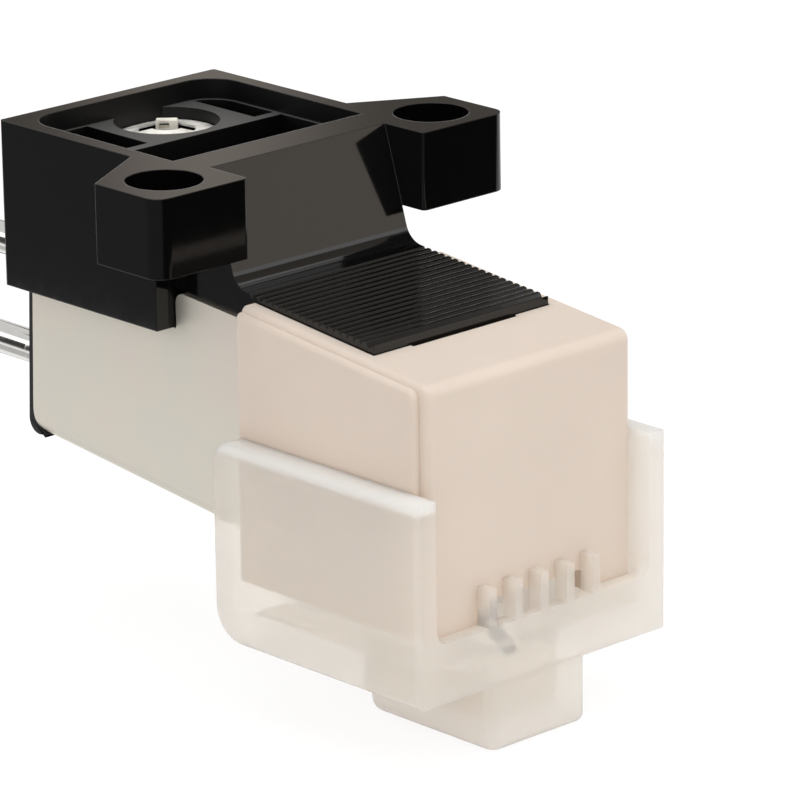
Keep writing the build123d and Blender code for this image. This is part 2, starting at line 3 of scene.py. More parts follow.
import bpy
import numpy as np
from bpy.props import FloatProperty, FloatVectorProperty, IntProperty, PointerProperty
from mathutils import Matrix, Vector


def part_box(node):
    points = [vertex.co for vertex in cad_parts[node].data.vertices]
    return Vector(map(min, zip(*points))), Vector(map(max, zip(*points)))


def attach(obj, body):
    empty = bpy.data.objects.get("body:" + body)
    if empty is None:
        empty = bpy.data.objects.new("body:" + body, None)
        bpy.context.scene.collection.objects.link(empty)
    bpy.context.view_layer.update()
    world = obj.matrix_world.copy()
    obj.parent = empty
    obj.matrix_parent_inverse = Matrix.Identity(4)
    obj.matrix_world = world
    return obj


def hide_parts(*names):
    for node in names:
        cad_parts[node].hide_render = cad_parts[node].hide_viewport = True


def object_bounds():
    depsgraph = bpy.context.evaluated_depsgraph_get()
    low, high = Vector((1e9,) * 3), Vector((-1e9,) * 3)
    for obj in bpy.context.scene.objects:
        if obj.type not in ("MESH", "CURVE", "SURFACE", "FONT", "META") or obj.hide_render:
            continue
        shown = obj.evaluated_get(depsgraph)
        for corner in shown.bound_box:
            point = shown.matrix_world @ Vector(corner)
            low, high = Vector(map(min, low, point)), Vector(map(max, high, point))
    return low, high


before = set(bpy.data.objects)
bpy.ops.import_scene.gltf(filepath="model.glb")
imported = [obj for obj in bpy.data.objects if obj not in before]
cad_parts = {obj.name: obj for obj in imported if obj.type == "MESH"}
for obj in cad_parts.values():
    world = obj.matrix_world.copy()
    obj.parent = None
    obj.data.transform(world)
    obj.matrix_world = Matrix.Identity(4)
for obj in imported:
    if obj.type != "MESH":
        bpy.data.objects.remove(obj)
cad_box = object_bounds()

bl_info = {
    "name": "Turntable cartridge",
    "version": (1, 0, 0),
    "blender": (4, 5, 0),
    "location": "View3D > Sidebar > Cartridge",
    "description": "Finishes and small metal pieces of a turntable cartridge with a pull-off stylus",
    "category": "Object",
}

MM = 0.001
# Faces that meet at a larger angle than this are shaded with a crease between them.
SHARP_EDGE = radians(35)
# Most values of a noise texture lie between these two.
NOISE_LOW, NOISE_HIGH = 0.3, 0.7
WHITE = (1, 1, 1)


def linear(hex_colour):
    """Linear RGB of an sRGB hex colour: each channel goes through the standard sRGB curve."""
    srgb = np.array([int(hex_colour[i:i + 2], 16) for i in (1, 3, 5)]) / 255
    return tuple(np.where(srgb <= 0.04045, srgb / 12.92, ((srgb + 0.055) / 1.055) ** 2.4).tolist())


def length(label, note, default):
    """A length property: the default is given in millimetres and kept in metres."""
    return FloatProperty(name=label, description=note, default=default * MM, min=0, precision=5,
                         subtype="DISTANCE", unit="LENGTH")


def degrees(label, note, default):
    """An angle property: the default is given in degrees and kept in radians."""
    return FloatProperty(name=label, description=note, default=radians(default), subtype="ANGLE")


def colour(label, note, hex_colour):
    """A colour property with an sRGB hex default."""
    return FloatVectorProperty(name=label, description=note, default=linear(hex_colour), min=0, max=1,
                               size=3, subtype="COLOR")


class CartridgeSizes(bpy.types.PropertyGroup):
    """Sizes of the pieces that are made here, and of the mounting body's rough recess and its places with
    painted light and painted shade.
    """
    # The recess is rough. Its land has painted light, a grey base colour, and the rest of it painted shade,
    # a grey specular tint that darkens its reflections.
    recess_half: length("Recess half", "Half the width of the dull recess in the top", 4.6)
    recess_front: length("Recess front", "Front of the dull recess, behind the holes", 1.6)
    recess_rear: length("Recess rear", "Rear of the dull recess, behind the holes", 9.86)
    recess_depth: length("Recess depth", "Depth of the matt land in the recess", 0.77)
    # The ears' fronts are dull through painted shade: a grey specular tint darkens their reflections.
    ear_reach: length("Ear reach", "Farthest that the ears' dull fronts lie aside or ahead", 9.0)
    ear_depth: length("Ear depth", "Depth of the ears' dull fronts below the top", 5.2)
    ear_gap: length("Ear gap", "Half the gap between the ears' dull fronts", 4.25)
    heel_behind: length("Heel", "Corner of the screening can, behind the holes", 10.17)
    heel_depth: length("Heel depth", "Corner of the screening can, below the top", 11.883)
    can_corner: length("Can corner", "Rounding of the screening can's heel", 1.0)
    can_lean: degrees("Can lean", "Lean of the screening can's rear edge", 2.4)
    floor_angle: degrees("Floor angle", "Fall of the screening can's floor to the front", 6.1)
    cap_heel: length("Cap heel", "Height of the rear cap's lower edge over its solid's", 0.115)
    cap_corner: length("Cap corner", "Rounding of the rear cap's heel", 0.55)
    cap_wrap: length("Cap wrap", "Reach of the rear cap under the can's heel", 0.67)
    cap_tail: length("Cap tail", "Rise of the rear cap's lower edge to the end of its reach", 0.105)
    cap_lean: degrees("Cap lean", "Lean of the rear cap's outer face", 2.75)
    pin_radius: length("Pin radius", "Free end of a terminal pin", 0.6)
    pin_collar: length("Collar radius", "Collar of a terminal pin", 0.64)
    pin_collar_length: length("Collar length", "Collar of a terminal pin, past its wall", 1.1)
    pin_root: length("Root radius", "Root of a terminal pin, inside its wall", 0.42)
    pin_tip_round: length("Tip round", "Rounding of a terminal pin's end", 0.34)
    pin_edge: length("Edge round", "Rounding of a terminal pin's collar", 0.07)
    pin_flat: length("End flat", "Flat in the middle of a terminal pin's ends", 0.1)
    washer_gauge: length("Washer gauge", "Sheet thickness of the retaining washer", 0.07)
    washer_rise: length("Washer rise", "Height of the washer's prongs over its rim", 0.24)
    washer_lift: length("Washer lift", "Height of the washer's rim over the floor of its well", 0.18)
    washer_hole: length("Washer hole", "Radius of the washer's hole", 0.62)
    washer_rim: length("Washer rim", "Outer radius of the washer", 1.88)
    washer_slot: length("Washer slot", "Width of the slots between the washer's two prongs", 0.66)
    washer_slot_end: length("Slot end", "Reach of the slots from the washer's middle", 1.05)
    washer_turn: degrees("Washer turn", "Direction of the washer's slots and of the earth tab", -43)
    tab_half: length("Tab half width", "Half the width of the earth tab", 0.4)
    tab_depth: length("Tab depth", "Depth of the earth tab's folded strip", 0.42)
    tab_drop: length("Tab drop", "Height of the earth tab's solid over its folded top", 0.04)
    tab_fold: length("Tab fold", "Rounding of the earth tab's fold", 0.05)
    tab_root: length("Tab root", "Length of the earth tab under its top", 0.9)
    segments: IntProperty(name="Segments", description="Faces round a turned piece", default=96, min=12)


class CartridgeColours(bpy.types.PropertyGroup):
    """Colours of the finishes."""
    black: colour("Black", "Mounting body", "#080808")
    # Painted light: a black land would stay black; this grey stands in for the light that the land catches
    # at a grazing angle.
    land: colour("Land", "Matt land in the recess of the mounting body", "#50504F")
    fibre: colour("Fibre", "Rear cap", "#0B0B0B")
    cream: colour("Cream", "Stylus holder", "#E7D8CA")
    guard: colour("Guard", "Milky stylus guard", "#FCF4EC")
    can: colour("Can", "Screening can", "#F0EAE0")
    plating: colour("Plating", "Terminal pins", "#DAD8D4")
    steel: colour("Steel", "Retaining washer", "#FCFAF4")
    tin: colour("Tin", "Earth tab", "#FFFAF0")
    copper: colour("Copper", "Coils", "#B8733A")
    core: colour("Core", "Cores and yoke", "#9C9B98")
    spool: colour("Spool", "Bobbins", "#C9C0AE")
    sleeve: colour("Sleeve", "Pivot sleeve", "#C4C3C0")
    rubber: colour("Rubber", "Damper", "#1B1B1C")
    arm: colour("Arm", "Cantilever", "#1C1C1D")
    magnet: colour("Magnet", "Rod magnets", "#77777B")
    diamond: colour("Diamond", "Stylus tip", "#E6E4DA")
    floor: colour("Floor", "Studio floor", "#F4F3F1")
    warm_card: colour("Warm card", "Studio cards in front and behind", "#FFF2E5")


class StageSettings(bpy.types.PropertyGroup):
    """Camera and light of the studio."""
    azimuth: degrees("Azimuth", "Camera direction round the object", -43.09)
    elevation: degrees("Elevation", "Camera height angle", 17.79)
    roll: degrees("Roll", "Camera roll", -0.78)
    distance: length("Distance", "Camera distance along its view axis", 187.3)
    aside: FloatVectorProperty(
        name="Aside", description="Origin's place in the camera's view, across and up",
        default=(-3.51 * MM, 8.97 * MM), size=2, unit="LENGTH", precision=5)
    lens: FloatProperty(name="Lens", description="Focal length", default=239.27, unit="CAMERA")
    sky: FloatProperty(name="Sky", description="Strength of the light from all round", default=0.68)
    key: FloatProperty(name="Key", description="Power of the front light", default=0.5, unit="POWER")
    top: FloatProperty(name="Top", description="Power of the overhead light", default=0.5, unit="POWER")
    side: FloatProperty(name="Side", description="Power of the left light", default=0.2, unit="POWER")


def unit(vector):
    """Vector of length 1 in the same direction."""
    return vector / np.linalg.norm(vector)


def grid_faces(rows, columns, closed_rows):
    """Quads of a grid of points. Columns wrap round, and rows do too where closed_rows is true."""
    count = rows if closed_rows else rows - 1
    row, column = np.meshgrid(np.arange(count), np.arange(columns), indexing="ij")
    after, beside = (row + 1) % rows, (column + 1) % columns
    corners = (row * columns + column, after * columns + column,
               after * columns + beside, row * columns + beside)
    return np.stack(corners, axis=-1).reshape(-1, 4)


def skin(name, points, closed_rows=False):
    """Mesh object over a grid of points, rows by columns by xyz.

    Columns wrap round. Rows wrap too where closed_rows is true, and otherwise the first and last row
    are closed by one flat face each.
    """
    rows, columns = points.shape[:2]
    faces = grid_faces(rows, columns, closed_rows).tolist()
    if not closed_rows:
        faces.append(np.arange(columns).tolist())
        faces.append((np.arange(columns)[::-1] + (rows - 1) * columns).tolist())
    mesh = bpy.data.meshes.new(name)
    mesh.from_pydata(points.reshape(-1, 3).tolist(), [], faces)
    mesh.shade_smooth()
    mesh.set_sharp_from_angle(angle=SHARP_EDGE)
    piece = bpy.data.objects.new(name, mesh)
    bpy.context.scene.collection.objects.link(piece)
    return piece


def rounded_line(corners, steps=6):
    """Open line through corner points (a, b, radius) with each corner replaced by an arc.

    The arc starts and ends where its tangents leave the corner, at radius over the tangent of half the
    angle between the runs, and is drawn as steps equal turns about its centre.
    """
    points = []
    for index, (a, b, radius) in enumerate(corners):
        here = np.array((a, b), float)
        if radius == 0 or index in (0, len(corners) - 1):
            points.append(here[None])
            continue
        back = unit(np.array(corners[index - 1][:2], float) - here)
        ahead = unit(np.array(corners[index + 1][:2], float) - here)
        half = np.arccos(np.clip(back @ ahead, -1, 1)) / 2
        centre = here + unit(back + ahead) * radius / sin(half)
        start = here + back * radius / tan(half) - centre
        end = here + ahead * radius / tan(half) - centre
        share = np.linspace(0, 1, steps + 1)[:, None]
        turn = np.arccos(np.clip(start @ end / radius ** 2, -1, 1))
        swing = np.sin((1 - share) * turn) * start + np.sin(share * turn) * end
        points.append(centre + swing / sin(turn))
    return np.concatenate(points)


def rounded_outline(low, high, radius, steps=6):
    """Closed outline of a rectangle between two corner points (a, b), with an arc at each corner.

    The corners go anticlockwise from the upper right one. Each arc is a quarter turn about a centre that
    lies the radius in from both sides.
    """
    corner = np.repeat(np.arange(4), steps)
    angle = (corner + np.tile(np.linspace(0, 1, steps), 4)) * pi / 2
    side = np.stack((np.where(corner % 3 == 0, 1, -1), np.where(corner < 2, 1, -1)), axis=-1)
    middle, half = (np.array(high) + low) / 2, (np.array(high) - low) / 2
    return middle + side * (half - radius) + radius * np.stack((np.cos(angle), np.sin(angle)), axis=-1)


def turned_along_y(name, profile, x, z, segments):
    """Turned piece: a line of (radius, y) points carried round the axis that runs along y at (x, z)."""
    angle = np.arange(segments) * 2 * pi / segments
    radius, along = profile[:, 0, None], profile[:, 1, None]
    axes = (x + radius * np.cos(angle), along + 0 * angle, z + radius * np.sin(angle))
    return skin(name, np.stack(axes, axis=-1))


def add_node(tree, kind, inputs=None, **settings):
    """Adds one node, with its settings, and sets or links its inputs."""
    node = tree.nodes.new(kind)
    for key, value in settings.items():
        setattr(node, key, value)
    for key, value in (inputs or {}).items():
        if isinstance(value, bpy.types.NodeSocket):
            tree.links.new(value, node.inputs[key])
        else:
            node.inputs[key].default_value = value
    return node


def per_mm(size):
    """Texture scale that gives features of the stated size in millimetres."""
    return 1 / (size * MM)


def blank(name, values=None):
    """New material with an output and a Principled shader that has the given values."""
    material = bpy.data.materials.new(name)
    material.use_nodes = True
    tree = material.node_tree
    tree.nodes.clear()
    shader = add_node(tree, "ShaderNodeBsdfPrincipled", values)
    add_node(tree, "ShaderNodeOutputMaterial", {"Surface": shader.outputs[0]})
    return material, tree, shader


def tint(rgb, factor):
    """A colour made lighter or darker by a factor, with full opacity."""
    return tuple(min(1, channel * factor) for channel in rgb) + (1,)


def mottle(tree, place, size, low, high):
    """Ramp between two values over soft cloudy noise of the stated size in millimetres."""
    noise = add_node(tree, "ShaderNodeTexNoise", {"Vector": place, "Scale": per_mm(size), "Detail": 2})
    ramp = add_node(tree, "ShaderNodeMapRange", {
        "Value": noise.outputs["Fac"], "From Min": NOISE_LOW, "From Max": NOISE_HIGH,
        "To Min": low, "To Max": high})
    return ramp.outputs["Result"]


def mottled_colour(tree, place, size, rgb, darker, lighter):
    """Colour that drifts between a darker and a lighter tint over the same cloudy noise."""
    clouds = mottle(tree, place, size, 0, 1)
    mix = add_node(tree, "ShaderNodeMix", {
        "Factor": clouds, "A": tint(rgb, darker), "B": tint(rgb, lighter)}, data_type="RGBA")
    return mix.outputs["Result"]


def within_box(tree, place, low, high):
    """1 inside the box between two corners, and 0 outside it.

    Inside, the distance from the box's middle is less than half the box's side on all three axes.
    """
    middle, half = (np.array(high) + low) / 2, (np.array(high) - low) / 2
    offset = add_node(tree, "ShaderNodeVectorMath", {0: place, 1: middle.tolist()}, operation="SUBTRACT")
    apart = add_node(tree, "ShaderNodeVectorMath", {0: offset.outputs[0]}, operation="ABSOLUTE")
    over = add_node(tree, "ShaderNodeVectorMath", {0: apart.outputs[0], 1: half.tolist()},
                    operation="SUBTRACT")
    axes = add_node(tree, "ShaderNodeSeparateXYZ", {0: over.outputs[0]}).outputs
    flat = add_node(tree, "ShaderNodeMath", {0: axes[0], 1: axes[1]}, operation="MAXIMUM").outputs[0]
    most = add_node(tree, "ShaderNodeMath", {0: flat, 1: axes[2]}, operation="MAXIMUM").outputs[0]
    return add_node(tree, "ShaderNodeMath", {0: most, 1: 0.0}, operation="LESS_THAN").outputs[0]


def recess_and_land(tree, place, facing, sizes):
    """Two masks of the mounting body: all of the recess in its top, and the land in it that faces up."""
    left, front, right, rear = -sizes.recess_half, sizes.recess_front, sizes.recess_half, sizes.recess_rear
    # The mask ends just under the top face, which stays polished, and below the deepest pocket.
    bottom, lip = -9 * MM, -0.03 * MM
    recess = within_box(tree, place, (left, front, bottom), (right, rear, lip))
    level, margin = -sizes.recess_depth, 0.05 * MM
    layer = within_box(tree, place, (left, front, level - margin), (right, rear, level + margin))
    upward = add_node(tree, "ShaderNodeMath", {0: facing["Z"], 1: 0.5}, operation="GREATER_THAN")
    land = add_node(tree, "ShaderNodeMath", {0: layer, 1: upward.outputs[0]}, operation="MULTIPLY")
    return recess, land.outputs[0]


def ear_fronts(tree, place, facing, sizes):
    """Mask of the two mounting ears' faces that look to the front."""
    reach, gap, foot, above = sizes.ear_reach, sizes.ear_gap, -sizes.ear_depth, 0.1 * MM
    row = within_box(tree, place, (-reach, -reach, foot), (reach, 0, above))
    between = within_box(tree, place, (-gap, -reach, foot), (gap, 0, above))
    ears = add_node(tree, "ShaderNodeMath", {0: row, 1: between}, operation="SUBTRACT").outputs[0]
    forward = add_node(tree, "ShaderNodeMath", {0: facing["Y"], 1: -0.9}, operation="LESS_THAN").outputs[0]
    return add_node(tree, "ShaderNodeMath", {0: ears, 1: forward}, operation="MULTIPLY").outputs[0]


def black_abs(colours, sizes):
    """Moulded black ABS: polished outside, with a faint grain and edges that catch a thin line of light.

    The recess in the top is dull, rougher than the polished faces. The land in it gets a grey base colour
    that is painted light: it stands in for the light that the land catches at a grazing angle. The rest of
    the recess and the fronts of the ears have painted shade: a grey specular tint darkens their
    reflections.
    The grain is drawn coarser than a mould's own, so that it shows.
    """
    material, tree, shader = blank("black_abs_moulded", {"IOR": 1.5, "Specular IOR Level": 0.5})
    place = add_node(tree, "ShaderNodeTexCoord").outputs["Object"]
    normal = add_node(tree, "ShaderNodeNewGeometry").outputs["Normal"]
    facing = add_node(tree, "ShaderNodeSeparateXYZ", {0: normal}).outputs
    recess, land = recess_and_land(tree, place, facing, sizes)
    polished = mottled_colour(tree, place, 3.0, colours.black, 0.94, 1.08)
    # Painted light: the land's grey base colour stands in for the light that it catches at a grazing angle.
    base = add_node(tree, "ShaderNodeMix", {
        "Factor": land, "A": polished, "B": (*colours.land, 1)}, data_type="RGBA")
    tree.links.new(base.outputs["Result"], shader.inputs["Base Color"])
    gloss = mottle(tree, place, 0.5, 0.07, 0.1)
    rough = add_node(tree, "ShaderNodeMix", {"Factor": recess, "A": gloss, "B": 0.42})
    tree.links.new(rough.outputs[0], shader.inputs["Roughness"])
    # Painted shade: a grey specular tint darkens the reflections in the recess outside the land, and on the
    # ears' fronts.
    sunk = add_node(tree, "ShaderNodeMath", {0: recess, 1: land}, operation="SUBTRACT").outputs[0]
    fronts = ear_fronts(tree, place, facing, sizes)
    dim = add_node(tree, "ShaderNodeMath", {0: sunk, 1: fronts}, operation="MAXIMUM").outputs[0]
    painted_shade_tint = add_node(tree, "ShaderNodeMix", {
        "Factor": dim, "A": (*WHITE, 1), "B": tint(WHITE, 0.35)}, data_type="RGBA")
    tree.links.new(painted_shade_tint.outputs["Result"], shader.inputs["Specular Tint"])
    grain = add_node(tree, "ShaderNodeTexNoise", {"Vector": place, "Scale": per_mm(0.11), "Detail": 3})
    edges = add_node(tree, "ShaderNodeBevel", {"Radius": 0.05 * MM}, samples=6)
    bump = add_node(tree, "ShaderNodeBump", {
        "Height": grain.outputs["Fac"], "Strength": 0.06, "Distance": 0.004 * MM,
        "Normal": edges.outputs[0]})
    tree.links.new(bump.outputs[0], shader.inputs["Normal"])
    return material


def cream_abs(rgb):
    """Moulded cream ABS with a faint satin grain, drawn coarser than a mould's own so that it shows.

    Light sinks in a little, so edges glow and shades are soft.
    """
    material, tree, shader = blank("cream_abs_moulded", {
        "IOR": 1.5, "Specular IOR Level": 0.35, "Subsurface Weight": 0.25,
        "Subsurface Radius": (1.0, 0.75, 0.55), "Subsurface Scale": 0.35 * MM})
    place = add_node(tree, "ShaderNodeTexCoord").outputs["Object"]
    tree.links.new(mottled_colour(tree, place, 4.0, rgb, 0.975, 1.02), shader.inputs["Base Color"])
    tree.links.new(mottle(tree, place, 0.7, 0.44, 0.54), shader.inputs["Roughness"])
    grain = add_node(tree, "ShaderNodeTexNoise", {"Vector": place, "Scale": per_mm(0.16), "Detail": 3})
    bump = add_node(tree, "ShaderNodeBump", {
        "Height": grain.outputs["Fac"], "Strength": 0.1, "Distance": 0.006 * MM})
    tree.links.new(bump.outputs[0], shader.inputs["Normal"])
    return material


def milky_polypropylene(rgb, top):
    """Moulded milky polypropylene: shows what is close behind it, blurred by the haze within.

    Its low IOR keeps what is behind in place. Along the rim at the top, where light has a longer way
    through, it is whiter and less clear.
    """
    material, tree, shader = blank("milky_polypropylene_moulded", {
        "IOR": 1.04, "Coat Weight": 0.4, "Coat Roughness": 0.1, "Coat IOR": 1.49, "Subsurface Weight": 1.0,
        "Subsurface Radius": (1.0, 0.92, 0.85), "Subsurface Scale": 1.6 * MM})
    place = add_node(tree, "ShaderNodeTexCoord").outputs["Object"]
    haze = add_node(tree, "ShaderNodeTexNoise", {"Vector": place, "Scale": per_mm(6.0), "Detail": 1})
    cloudy = add_node(tree, "ShaderNodeMix", {
        "Factor": haze.outputs["Fac"], "A": tint(rgb, 0.985), "B": tint(rgb, 1.015)}, data_type="RGBA")
    tree.links.new(cloudy.outputs["Result"], shader.inputs["Base Color"])
    ripple = add_node(tree, "ShaderNodeMapRange", {
        "Value": haze.outputs["Fac"], "To Min": 0.4, "To Max": 0.5})
    tree.links.new(ripple.outputs["Result"], shader.inputs["Roughness"])
    height = add_node(tree, "ShaderNodeSeparateXYZ", {0: place}).outputs["Z"]
    clear, white = 0.6, 0.15
    rim = add_node(tree, "ShaderNodeMapRange", {
        "Value": height, "From Min": top - 0.5 * MM, "From Max": top - 0.25 * MM,
        "To Min": clear, "To Max": white}, interpolation_type="SMOOTHSTEP")
    tree.links.new(rim.outputs["Result"], shader.inputs["Transmission Weight"])
    return material


def satin_sheet(rgb):
    """Rolled nickel-iron sheet, satin finished.

    Faint lines run along the roll, which goes from front to rear, and the tint changes slowly, as on pearl.
    The lines are drawn coarser than real ones, so that they show.
    """
    material, tree, shader = blank("nickel_iron_satin_rolled", {"Metallic": 1})
    place = add_node(tree, "ShaderNodeTexCoord").outputs["Object"]
    stretched = add_node(tree, "ShaderNodeMapping", {"Vector": place, "Scale": (1, 0.06, 1)}).outputs[0]
    lines = add_node(tree, "ShaderNodeTexNoise", {
        "Vector": stretched, "Scale": per_mm(0.12), "Detail": 3}).outputs["Fac"]
    warm = (rgb[0] * 1.02, rgb[1] * 0.99, rgb[2] * 0.985, 1)
    cool = (rgb[0] * 0.985, rgb[1] * 1.005, rgb[2] * 0.99, 1)
    pearl = add_node(tree, "ShaderNodeMix", {
        "Factor": mottle(tree, place, 3.5, 0, 1), "A": warm, "B": cool}, data_type="RGBA")
    tree.links.new(pearl.outputs["Result"], shader.inputs["Base Color"])
    rough = add_node(tree, "ShaderNodeMapRange", {
        "Value": lines, "From Min": NOISE_LOW, "From Max": NOISE_HIGH, "To Min": 0.55, "To Max": 0.6})
    tree.links.new(rough.outputs["Result"], shader.inputs["Roughness"])
    bump = add_node(tree, "ShaderNodeBump", {"Height": lines, "Strength": 0.03, "Distance": 0.004 * MM})
    tree.links.new(bump.outputs[0], shader.inputs["Normal"])
    return material


def plain_metal(name, rgb, roughness, grain_mm):
    """Bare or plated metal: its roughness drifts a little, as handling and forming leave it."""
    material, tree, shader = blank(name, {"Metallic": 1})
    place = add_node(tree, "ShaderNodeTexCoord").outputs["Object"]
    tree.links.new(mottled_colour(tree, place, grain_mm, rgb, 0.96, 1.03), shader.inputs["Base Color"])
    drift = mottle(tree, place, grain_mm, roughness * 0.8, roughness * 1.25)
    tree.links.new(drift, shader.inputs["Roughness"])
    return material


def plain_moulding(name, rgb, roughness):
    """Small moulded, stamped or rubber piece with a slightly uneven surface."""
    material, tree, shader = blank(name)
    place = add_node(tree, "ShaderNodeTexCoord").outputs["Object"]
    tree.links.new(mottled_colour(tree, place, 0.8, rgb, 0.92, 1.08), shader.inputs["Base Color"])
    drift = mottle(tree, place, 0.3, roughness - 0.06, roughness + 0.06)
    tree.links.new(drift, shader.inputs["Roughness"])
    return material


def ground_diamond(rgb):
    """Ground and polished diamond: clear, with a high index that makes it bright."""
    material, tree, shader = blank("diamond_ground", {
        "Base Color": (*rgb, 1), "IOR": 2.42, "Transmission Weight": 0.9})
    place = add_node(tree, "ShaderNodeTexCoord").outputs["Object"]
    tree.links.new(mottle(tree, place, 0.1, 0.02, 0.08), shader.inputs["Roughness"])
    return material


def clothe(material, *nodes):
    """Gives the named solids a material."""
    for name in nodes:
        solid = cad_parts[name]
        solid.material_slots[0].material = material


def stand_for(piece, material, body, node):
    """Gives a new piece its material and its body, and hides the solid that it stands for."""
    piece.data.materials.append(material)
    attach(piece, body)
    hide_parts(node)


class CARTRIDGE_OT_black_mouldings(bpy.types.Operator):
    """Finish the mounting body and stamp the rear cap"""
    bl_idname = "cartridge.black_mouldings"
    bl_label = "Black mouldings"

    def execute(self, context):
        sizes, colours = context.scene.cartridge_sizes, context.scene.cartridge_colours
        clothe(black_abs(colours, sizes), "mounting_body")
        fibre = plain_moulding("vulcanised_fibre_stamped", colours.fibre, 0.6)
        cap = skin("rear_cap_stamped", self.cap(sizes))
        stand_for(cap, fibre, "cartridge", "rear_cap")
        return {"FINISHED"}

    def cap(self, sizes):
        """Points of the rear cap: its side outline, carried across from one side to the other.

        The outline goes down the outer face, which leans back, round the heel and forward under the can.
        It comes back along the can's rounded heel and up the can's leaning rear edge.
        """
        low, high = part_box("rear_cap")
        under, front = low.z + sizes.cap_heel, sizes.heel_behind - sizes.cap_wrap
        outer_top = high.y - (high.z - under) * tan(sizes.cap_lean)
        outer = rounded_line([(outer_top, high.z, 0), (high.y, under, sizes.cap_corner),
                              (front, under + sizes.cap_tail, 0)], steps=10)
        # The run under the can is a little longer than the way that the heel's arc takes up.
        run = 1.3 * sizes.can_corner
        inner_top = sizes.heel_behind - (high.z + sizes.heel_depth) * tan(sizes.can_lean)
        inner = rounded_line([
            (sizes.heel_behind - run, -sizes.heel_depth - run * tan(sizes.floor_angle), 0),
            (sizes.heel_behind, -sizes.heel_depth, sizes.can_corner), (inner_top, high.z, 0)], steps=16)
        along, height = np.concatenate((outer, inner)).T
        along = np.maximum(along, front)
        return np.stack([np.stack((x + 0 * along, along, height), axis=-1) for x in (low.x, high.x)])


class CARTRIDGE_OT_screening_can(bpy.types.Operator):
    """Finish the folded screening can"""
    bl_idname = "cartridge.screening_can"
    bl_label = "Screening can"

    def execute(self, context):
        clothe(satin_sheet(context.scene.cartridge_colours.can), "screening_can")
        return {"FINISHED"}


class CARTRIDGE_OT_terminal_pins(bpy.types.Operator):
    """Turn the four plated terminal pins"""
    bl_idname = "cartridge.terminal_pins"
    bl_label = "Terminal pins"

    def execute(self, context):
        sizes = context.scene.cartridge_sizes
        plating = plain_metal("plated_brass_bright", context.scene.cartridge_colours.plating, 0.1, 0.6)
        for node, wall_of in (("left_signal_pin", "mounting_body"), ("right_signal_pin", "mounting_body"),
                              ("left_return_pin", "rear_cap"), ("right_return_pin", "rear_cap")):
            low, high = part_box(node)
            x, z = (low.x + high.x) / 2, (low.z + high.z) / 2
            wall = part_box(wall_of)[1].y
            shoulder = wall + sizes.pin_collar_length
            profile = rounded_line([
                (sizes.pin_flat, low.y, 0), (sizes.pin_root, low.y, 0), (sizes.pin_root, wall, 0),
                (sizes.pin_collar, wall, 0), (sizes.pin_collar, shoulder, sizes.pin_edge),
                (sizes.pin_radius, shoulder, 0), (sizes.pin_radius, high.y, sizes.pin_tip_round),
                (sizes.pin_flat, high.y, 0)])
            pin = turned_along_y(node + "_turned", profile, x, z, sizes.segments)
            stand_for(pin, plating, "cartridge", node)
        return {"FINISHED"}


class CARTRIDGE_OT_earth_fittings(bpy.types.Operator):
    """Press the retaining washer and fold the earth tab"""
    bl_idname = "cartridge.earth_fittings"
    bl_label = "Washer and earth tab"

    def execute(self, context):
        sizes, colours = context.scene.cartridge_sizes, context.scene.cartridge_colours
        steel = plain_metal("spring_steel_bright", colours.steel, 0.62, 0.5)
        washer = skin("retaining_washer_pressed", self.washer(sizes), closed_rows=True)
        stand_for(washer, steel, "cartridge", "retaining_washer")
        tinned = plain_metal("copper_strip_tinned", colours.tin, 0.7, 0.4)
        tab = skin("earth_tab_folded", self.tab(sizes), closed_rows=True)
        stand_for(tab, tinned, "cartridge", "earth_tab")
        return {"FINISHED"}

    def tab(self, sizes):
        """Points of the folded tab: a ring from its outline to its window, as deep as its strip is wide.

        Both are rounded rectangles in an upright plane that is turned with the washer's slots. The window's
        sides are shares of the half width, and its floor and roof shares of the root, below the top. The
        ring goes from the outline to the window on the far side and back to the outline on the near side.
        """
        low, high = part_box("earth_tab")
        half, root, top = sizes.tab_half, sizes.tab_root, high.z - sizes.tab_drop
        left, right, floor, roof = 0.72 * half, 0.25 * half, 0.3 * root, 0.08 * root
        outline = rounded_outline((-half, top - root), (half, top), sizes.tab_fold)
        window = rounded_outline((-left, top - floor), (right, top - roof), sizes.tab_fold)
        loops = np.stack((outline, window, window, outline))
        side = np.array((1, 1, -1, -1))[:, None] * sizes.tab_depth / 2
        along, across = cos(sizes.washer_turn), sin(sizes.washer_turn)
        x = (low.x + high.x) / 2 + loops[..., 0] * along - side * across
        y = (low.y + high.y) / 2 + loops[..., 0] * across + side * along
        return np.stack((x, y, loops[..., 1]), axis=-1)

    def washer(self, sizes):
        """Points of a push-on washer: a sheet section carried round the upright axis of its well.

        The hole's edge lies at the hole's radius, and at half the slot's width over the sine of the angle
        from the slots, up to the slots' end. The sheet rises from its rim to the hole in a shallow curve,
        as a power of the share of the way in. The rim is cut off flat where the well's wall is flat.
        """
        low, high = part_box("retaining_washer")
        middle_x, middle_y = (low.x + high.x) / 2, low.y + (high.x - low.x) / 2
        rings, power = 13, 1.4
        angle = (np.arange(2 * sizes.segments) + 0.5) * pi / sizes.segments
        edge = np.clip(sizes.washer_slot / 2 / np.abs(np.sin(angle)), sizes.washer_hole,
                       sizes.washer_slot_end)
        radius = edge + (sizes.washer_rim - edge) * np.linspace(0, 1, rings)[:, None]
        inward = (sizes.washer_rim - radius) / (sizes.washer_rim - sizes.washer_hole)
        under = low.z + sizes.washer_lift + sizes.washer_rise * inward ** power
        radius = np.concatenate((radius, radius[::-1]))
        height = np.concatenate((under + sizes.washer_gauge, under[::-1]))
        x = middle_x + radius * np.cos(angle + sizes.washer_turn)
        y = middle_y + radius * np.sin(angle + sizes.washer_turn)
        return np.stack((x, np.minimum(y, high.y), height), axis=-1)


